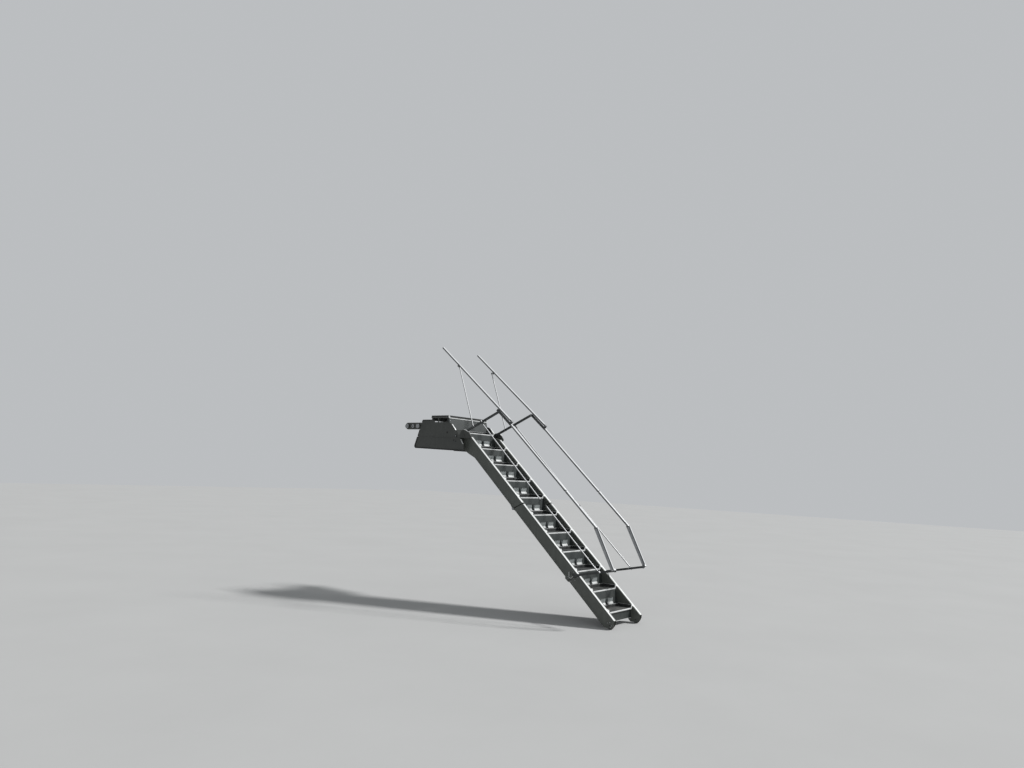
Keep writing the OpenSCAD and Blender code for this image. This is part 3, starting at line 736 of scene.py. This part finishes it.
def light_highlight_lip(k, x0, w):
    """Bright lower lip of a light, a painted highlight for the sunlit lower edge: a ramp over the lowest
    third of its front, facing outward and up.
    """
    z0, tall, deep = LIGHT_Z[0], 22, 18.0
    top = front_of_light(z0 + tall)
    shape = np.array([(0.6, z0 + 1), (top + 0.4, z0 + tall), (top + 2.0, z0 + tall), (deep, z0),
                      (deep, z0 - 3), (0.6, z0 - 3)])
    return tube_of(riser_point(k, np.array([[x0 + 4], [x0 + w - 4]]), shape[:, 1], shape[:, 0]))


def step_lights():
    """Lens, hood, frame and bright lip (painted highlight) of each light in the risers."""
    for name, body, steps in LIT_RISERS:
        lens, frames, highlight_lips = [], [], []
        for k in steps:
            for x0, w in WINDOWS:
                lens.append(fluted_lens(k, x0, w))
                frames += [window_frame(k, x0, w)] + light_hood(k, x0, w)
                highlight_lips.append(light_highlight_lip(k, x0, w))
        obj = piece(f"light_lenses_{name}", lens, body, "light_panel", 50)
        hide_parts(f"step_lights_{name}")
        piece(f"light_frames_{name}", frames, body, "riser_sheet")
        piece(f"light_highlight_lips_{name}", highlight_lips, body, "bright_edge")


def tread_brackets():
    """Angle under each end of a tread, with rivets into the beam and a bolt up through the tread."""
    for name, body, steps in LADDERS:
        angles, bolts = [], []
        for k in steps:
            for sign in (-1, 1):
                section = [(0, 0), (sign * -28, 0), (sign * -28, -3), (sign * -3, -3), (sign * -3, -28),
                           (0, -28)]
                wall = sign * (HALF_CLEAR - 0.2) * ACROSS
                angles.append(along_bar(section, tread_at(k, 34, -4.2) + wall,
                                        tread_at(k, 176, -4.2) + wall, ACROSS, UP, 0.6))
                for y in (55, 155):
                    at = tread_at(k, y, -7.4) + sign * (HALF_CLEAR - 15) * ACROSS
                    bolts += hex_bolt(at, -UP, TREAD_BOLT)
                    bolts.append(rivet(tread_at(k, y, -20) + sign * (HALF_CLEAR - 3.2) * ACROSS,
                                       -sign * ACROSS))
        piece(f"tread_angles_{name}", angles, body, "grey_paint")
        piece(f"tread_bolts_{name}", bolts, body, "pin_steel")


# Carriage

def edge_y(z):
    """Inboard edge of the side plates, which leans outboard as it rises."""
    return -160.0 - 0.365 * z


def strip(points, w, thick, base, sign):
    """Flat strip along points in (y, z): w wide in X from base outward, thick across."""
    parts = []
    for a, b in zip(points[:-1], points[1:]):
        a, b = np.array(a, float), np.array(b, float)
        d = unit(b - a)
        across = np.array([0.0, -d[1], d[0]])
        x = sign * (base + w / 2)
        parts.append(along_bar(bar_profile(w, thick, 0.9), [x, *a], [x, *b], ACROSS, across, 0.6))
    return parts


def seam_z(y):
    """Height of the plates' seam, which falls 18 mm over the 927 mm outboard of y = -60."""
    return -146 - (y + 60) / -927 * 18


# Plugs in the plates are (y, z, radius); rivets on the swing lugs are (y, z)
PLUGS = ((-811, -197, 8.0), (-849, -213, 6.0), (-684, -91, 16.0))
LUG_SIDE, LUG_RIVETS = 357, ((-1000, -110), (-1045, -125), (-960, -110))
EDGE_THICK, DARK_RIM_W, EDGE_W, LUG_EDGE_W = 2.4, 12.0, 21.0, 31.0
PLATE_FACE = SIDE_X + SIDE_T


def plate_rivets(sign, out):
    """Two rows of rivets along the seam, one row under the deck and three rivets on the lug."""
    face, rivets = sign * PLATE_FACE, []
    for y in np.arange(-900, -120, 48.0):
        rivets.append(rivet([face, y, seam_z(y) + 11], out))
        rivets.append(rivet([face - sign * 4, y, seam_z(y) - 12], out))
    rivets += [rivet([face, y, 75], out) for y in np.arange(-400, -200, 55.0)]
    return rivets + [round_head([sign * LUG_SIDE, y, z], out, 4.5, 2.2, 10) for y, z in LUG_RIVETS]


def plate_plugs(sign, out):
    """Round plugs in the plate, and the larger cover over the flight's swing pin."""
    face = sign * PLATE_FACE
    plugs = [lathe([(-0.5, r), (1.2, r), (1.8, r - 1), (1.8, r * 0.55), (0.4, r * 0.5)],
                   [face, y, z], out, 20) for y, z, r in PLUGS]
    return plugs + [lathe([(-1, 19), (5, 19), (6.5, 17.5), (6.5, 9), (5.5, 8)],
                          [face, *slope_point(0, *SWING)[1:]], out, 28)]


def plate_dark_rims(sign):
    """Dark strips along the plate's lower edge, up its inboard edge and along its top."""
    low = [(edge_y(-155) + 3, -155), (edge_y(-285) + 3, -285), (-62, -303), (-80, -309), (-300, -316),
           (-640, -327), (-975, -338), (-992, -338)]
    high = [(edge_y(-55) + 3, -55), (edge_y(-140) + 3, -140)]
    top = [(edge_y(58) + 3, 56), (-189, 78), (-200, 86), (-420, 86)]
    return (strip(low, DARK_RIM_W, 17.0, SIDE_X - 2, sign) + strip(high, DARK_RIM_W, 8.0, SIDE_X - 1, sign)
            + strip(top, DARK_RIM_W, 11.0, SIDE_X - 1, sign))


def plate_edge_highlights(sign):
    """Bright strips on edges of the plate and of the swing lug: painted highlight where the edges catch the
    sun.
    """
    return (strip([(-773.5, 24), (-851.5, -59)], EDGE_W, EDGE_THICK, SIDE_X + 0.5, sign)
            + strip([(-949.5, -186), (-991.5, -247)], EDGE_W, EDGE_THICK, SIDE_X + 0.5, sign)
            + strip([(-962, -48), (-1001, -58.5), (-1040, -82)], LUG_EDGE_W, EDGE_THICK, 349.5, sign))


def plate_fittings():
    """Rivets, plugs, bore bushes, dark rim strips and bright edge strips (painted highlight) of both side
    plates.
    """
    for side, sign in SIDES:
        out = sign * ACROSS
        piece(f"plate_rivets_{side}", plate_rivets(sign, out), "carriage", "grey_paint")
        piece(f"plate_plugs_{side}", plate_plugs(sign, out), "carriage", "rubber")
        bush = [lathe([(0, 26), (2.5, 26), (4, 24), (4, 13), (3, 10.4), (-4, 10.4), (-4, 12)],
                      [sign * (PLATE_FACE + 6), 0, 0], out, 32, True)]
        piece(f"plate_bushes_{side}", bush, "carriage", "pin_steel")
        piece(f"plate_dark_rims_{side}", plate_dark_rims(sign), "carriage", "rubber")
        piece(f"plate_edge_highlights_{side}", plate_edge_highlights(sign), "carriage", "bright_edge")


def deck_fittings():
    """Screws along the platform's sides and under its front."""
    screws, pitch = [], 70.0
    for sign in (-1, 1):
        for y in np.arange(DECK_FRONT + 40, DECK_BACK - 20, pitch):
            screws.append(round_head([sign * DECK_HALF, y, DECK_Z - 25], sign * ACROSS, 3.6, 1.8, 8))
    for x in np.arange(30 - DECK_HALF, DECK_HALF - 25, pitch):
        screws.append(round_head([x, DECK_FRONT - 0.5, 84], -OUT_Y, 3.6, 1.8, 8))
    piece("platform_screws", screws, "carriage", "pin_steel")


AXLES = (("front", -110.0), ("rear", 110.0))


def track_rollers():
    """Axle with collars and crowned, flanged track rollers, turned in one piece about X."""
    half = SIDE_X + 34
    right = [(half - 62, 12), (half - 48, 12), (half - 47, 19), (half - 42, 19), (half - 41, 12),
             (half - 17, 12), (half - 16, 30), (half - 14.5, 32), (half - 12, 32), (half - 10.5, 29.5),
             (half - 8, 30.2), (half - 5.5, 29.5), (half - 4, 32), (half - 1.5, 32), (half, 30),
             (half, 24), (half - 1.5, 23), (half - 1.5, 11), (half, 10), (half, 2)]
    profile = [(-x, r) for x, r in right[::-1]] + right
    for name, y in AXLES:
        rollers = [lathe(profile, [0, y, 0], ACROSS, 40)]
        obj = piece(f"track_rollers_{name}", rollers, f"{name}_axle", "pin_steel")
        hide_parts(f"{name}_roller_axle")


# Handrails

def linkage_bolts():
    """Bolts at the upper links' pins; flat domed heads at the lower ones, which pass close by the beams."""
    for side, sign in SIDES:
        bolts = []
        for s, n in (TIP_U, MID_U, BASE_U + 0.3 * LINK_STEP):
            bolts += hex_bolt(slope_point(sign * LINK_X0, s, n), -sign * ACROSS, PIVOT_BOLT)
        piece(f"link_upper_bolts_{side}", bolts, f"link_upper_{side}", "pin_steel")
        heads = [round_head(slope_point(sign * LINK_X0, s, n), -sign * ACROSS, 8.0, 2.4, 16)
                 for s, n in (TIP_L, MID_L)]
        piece(f"link_lower_heads_{side}", heads, f"link_lower_{side}", "pin_steel")


def link_ribs():
    """Raised rib down the middle of each link's two faces, fading before the eyes."""
    for side, sign in SIDES:
        for name, a, b, w in (("link_upper", BASE_U, TIP_U, 14.0), ("link_lower", BASE_L, TIP_L, 10.0)):
            d = unit(b - a)
            over = slope_way((-d[1], d[0]))
            parts = [along_bar(bar_profile(w, 3.2, 1.5), slope_point(sign * x, *(a + d * 30)),
                               slope_point(sign * x, *(b - d * 30)), over, ACROSS, 3.0)
                     for x in (LINK_X0, LINK_X1)]
            piece(f"{name}_ribs_{side}", parts, f"{name}_{side}", "link_paint")


def collar(s, n, direction, length, radius, inner, sign):
    """Turned collar round a rail: straight band with chamfered ends, centred on the rail's axis."""
    half = length / 2
    return lathe([(-half, inner), (-half, radius - 1.2), (-half + 1.5, radius), (half - 1.5, radius),
                  (half, radius - 1.2), (half, inner)],
                 slope_point(sign * RAIL_X, s, n), slope_way(direction), 28)


# Collars are (s, length), rail ends s, bracket rivets (s, n), post screws distances from the knee
UPPER_COLLARS, LOWER_COLLARS = ((877, 16), (2062, 30)), ((2114, 30), (2640, 8))
UPPER_END, LOWER_END = 2081, 2091.6
BRACKET_RIVETS = [(s, 616 + (s - 552) * 0.05) for s in (600, 680, 760)]
POST_SCREWS = (70, 92)
EXT_WAY, POST_WAY = unit(EXT_TOP - EXT_HINGE), unit(TIP_L - KNEE)
CLAMP = EXT_HINGE + EXT_WAY * (EXT_HINGE[0] - CLAMP_S) / -EXT_WAY[0]


def top_rail_collars(places, sign):
    """Collars at given places along a top rail."""
    return [collar(s, RAIL_N, (1.0, 0.0), length, RAIL_R + 1.6, RAIL_R - 1, sign) for s, length in places]


def lower_rail_fittings(sign):
    """Collars of the lower top rail, the plug in its upper end and the screws in its end post."""
    parts = top_rail_collars(LOWER_COLLARS, sign)
    parts.append(lathe([(0, 1), (0.4, 11), (1.4, 13.5), (3.4, 13.5)],
                       slope_point(sign * RAIL_X, LOWER_END, RAIL_N), ALONG, 24))
    for d in POST_SCREWS:
        place = slope_point(sign * (RAIL_X - 8), *(KNEE + POST_WAY * d))
        parts.append(lathe([(0, 7), (9, 7), (11, 5.5)], place, -sign * ACROSS, 14))
    return parts


def extension_fittings(sign):
    """Two collars of the strut's clamp, one at the extension's end, and the round plug in that end."""
    parts = [collar(*(CLAMP + EXT_WAY * d), EXT_WAY, 9, RAIL_R + 3, RAIL_R - 1, sign) for d in (-12, 12)]
    parts.append(collar(*(EXT_TOP - EXT_WAY * 16), EXT_WAY, 6, RAIL_R + 1.2, RAIL_R - 1, sign))
    return parts + [lathe([(-4, 12.5), (0, 12.5), (3, 11), (5, 7), (5.6, 1)],
                          slope_point(sign * RAIL_X, *EXT_TOP), slope_way(EXT_WAY), 24)]


def bracket_fittings(sign):
    """Hinge bolt and rivets on both cheeks of the bracket that holds the extension."""
    parts = []
    for out in (-1, 1):
        x, axis = sign * (RAIL_X + out * BRACKET_HALF), out * sign * ACROSS
        parts += hex_bolt(slope_point(x, *EXT_HINGE), axis, PIVOT_BOLT)
        parts += [round_head(slope_point(x, s, n), axis, 4.0, 2.0, 10) for s, n in BRACKET_RIVETS]
    return parts


def rail_fittings():
    """Collars, end plugs, screws and hinge bolts of the handrails."""
    for side, sign in SIDES:
        upper = top_rail_collars(UPPER_COLLARS, sign)
        upper.append(lathe([(0, 13.5), (2, 13.5), (3, 11), (3.4, 1)],
                           slope_point(sign * RAIL_X, UPPER_END, RAIL_N), ALONG, 24))
        piece(f"rail_collars_upper_{side}", upper, f"top_rail_upper_{side}", "rail_metal")
        lower = lower_rail_fittings(sign)
        piece(f"rail_collars_lower_{side}", lower, f"top_rail_lower_{side}", "rail_metal")
        piece(f"extension_collars_{side}", extension_fittings(sign), f"rail_extension_{side}", "rail_metal")
        piece(f"bracket_bolts_{side}", bracket_fittings(sign), f"top_rail_upper_{side}", "pin_steel")


def rail_sockets():
    """Dark sockets on the middle rails' ends: chamfered sleeves along each rail."""
    low_pin, far_pin = MID_U + [-20, 8], MID_L + [20, 8]
    for side, sign in SIDES:
        for name, ends in (("upper", ((low_pin, MID_JOINT[0], 84.0), (MID_JOINT[0], low_pin, 20.0))),
                           ("lower", ((MID_JOINT[1], far_pin, 26.0), (far_pin, MID_JOINT[1], 40.0)))):
            parts = [lathe([(-2.5, 1), (-2.5, MID_R + 0.6), (-1.5, MID_R + 1.8),
                            (length - 4, MID_R + 1.8), (length, MID_R - 0.5)],
                           slope_point(sign * RAIL_X, *a), slope_way(unit(b - a)), 20)
                     for a, b, length in ends]
            piece(f"mid_rail_sockets_{name}_{side}", parts, f"mid_rail_{name}_{side}", "link_paint")


def clevis_straps():
    """Pale strap bent round each lower link's clevis, drawn as bars between corner points on the slope."""
    path = np.array([(2780.0, -46.0), (2824.0, -88.0), (2856.0, -76.0), (2856.0, -40.0)])
    for side, sign in SIDES:
        parts = []
        for a, b in zip(path[:-1], path[1:]):
            d = unit(b - a)
            parts.append(along_bar(bar_profile(16.0, 4.0, 1.4), slope_point(sign * STRAP_X, *(a - d)),
                                   slope_point(sign * STRAP_X, *(b + d)), ACROSS, slope_way((-d[1], d[0]))))
        piece(f"clevis_strap_{side}", parts, "lower_ladder", "bright_edge")


# Joints between the sections, feet and rollers

# Splice bolts by s; the shoe's outline and its studs in (s, n)
SPLICE_ROWS = (2796, 2822, 2872, 2902)
SHOE = [(3500, -126), (3552, -126), (3604, -84), (3604, -34), (3596, -6), (3560, -6), (3520, -60)]
SHOE_STUDS = ((3552, -40), (3536, -66), (3592, -46), (3596, -72))


def section_joints():
    """Bolts of the splice, hub covers of the fold hinge and the shoe plates of the feet."""
    for side, sign in SIDES:
        out = sign * ACROSS
        splice = []
        for s in SPLICE_ROWS:
            for n in (-110, -60, -5):
                splice += hex_bolt(slope_point(sign * BEAM_X, s, n), out, SPLICE_BOLT)
        piece(f"splice_bolts_{side}", splice, "lower_ladder", "pin_steel")
        hub = [lathe([(-0.5, 15), (2, 15), (4, 12), (4, 5), (2.5, 4)],
                     slope_point(sign * BEAM_X, *FOLD), out, 28)]
        hub += hex_bolt(slope_point(sign * (BEAM_X + 3.5), *FOLD), out, HUB_BOLT)
        piece(f"fold_hub_{side}", hub, "upper_ladder", "pin_steel")
        near, far = sorted((sign * BEAM_X, sign * (BEAM_X + 2.5)))
        piece(f"foot_shoe_{side}", [plate_of(slope_outline(SHOE), near, far)], "lower_ladder", "grey_paint")
        studs = [round_head(slope_point(sign * (BEAM_X + 2.0), s, n), out, 6.0, 4.5, 12)
                 for s, n in SHOE_STUDS]
        piece(f"foot_studs_{side}", studs, "lower_ladder", "rail_metal")


def post_webs():
    """Flat bar between the two tubes of each end post, its corners beside the post's line in (s, n)."""
    half = 9.6
    over = np.array([-POST_WAY[1], POST_WAY[0]])
    corners = [KNEE + 44 * POST_WAY - 25.4 * over, KNEE + 10 * POST_WAY - 14 * over,
               KNEE + 14 * POST_WAY + 13 * over, TIP_L - 15 * POST_WAY + 9 * over,
               TIP_L - 15 * POST_WAY - 23 * over]
    for side, sign in SIDES:
        web = plate_of(slope_outline(corners), sign * RAIL_X - half, sign * RAIL_X + half, 4.0)
        piece(f"post_web_{side}", [web], f"top_rail_lower_{side}", "pin_steel")


def kick_skirt():
    """Lower hem of the plate under the lowest tread, with a round bright lip along its edge as a painted
    highlight.
    """
    for name, y0, y1, z0, z1, bevel, slot in (("kick_hem", 13.0, 16.5, -114, -88, 0.6, "riser_sheet"),
                                              ("kick_highlight_lip", 11.0, 18.0, -119, -112, 2.0, "bright_edge")):
        corners = tread_at(TREADS, [y0, y1, y1, y0], [z0, z0, z1, z1])[:, 1:]
        piece(name, [plate_of(corners, 1 - HALF_CLEAR, HALF_CLEAR - 1, bevel)], "lower_ladder", slot)


def foot_rollers():
    """Ground roller: crowned tyre with two grooves, recessed hub and pin end, turned about X."""
    w = (BEAM_W - 16) / 2
    r = FOOT_R
    half = [(0, r - 0.2), (3.5, r - 0.3), (4.2, r - 2.5), (6.2, r - 2.7), (7, r - 0.8), (w - 2.5, r - 2.2),
            (w - 0.6, r - 4.6), (w, r - 8), (w, r - 15), (w - 2.5, r - 16), (w - 3.0, 16), (w - 0.5, 14.5),
            (w, 9)]
    pin = [(BEAM_W / 2 + 1.0, 8), (BEAM_W / 2 + 6, 8), (BEAM_W / 2 + 7, 6.5)]
    profile = [(-x, q) for x, q in (half + pin)[::-1]] + (half + pin)[1:]
    for side, sign in SIDES:
        at = slope_point(sign * (HALF_CLEAR + BEAM_W / 2), FOOT_S, FOOT_N)
        obj = piece(f"foot_tyre_{side}", [lathe(profile, at, ACROSS, 48)], f"foot_roller_{side}", "rubber")
        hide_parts(f"foot_roller_{side}")


def dress_nodes():
    """Every CAD node that still shows takes its slot's finish."""
    slots = {row["node"]: row["material_slot"] for row in frame["record"]["subparts"]}
    for name, obj in frame["nodes"].items():
        for held in obj.material_slots:
            held.material = finish_of(name, slots[name])


make_camera()
make_light()
bpy.context.scene.view_settings.view_transform = "Standard"
make_floor()
dress_nodes()
flange_highlight_caps()
beam_beads()
beam_rivets()
grip_mats()
nosings()
rim_beads()
platform_nosing()
step_lights()
tread_brackets()
plate_fittings()
deck_fittings()
track_rollers()
linkage_bolts()
link_ribs()
post_webs()
kick_skirt()
rail_fittings()
rail_sockets()
clevis_straps()
section_joints()
foot_rollers()
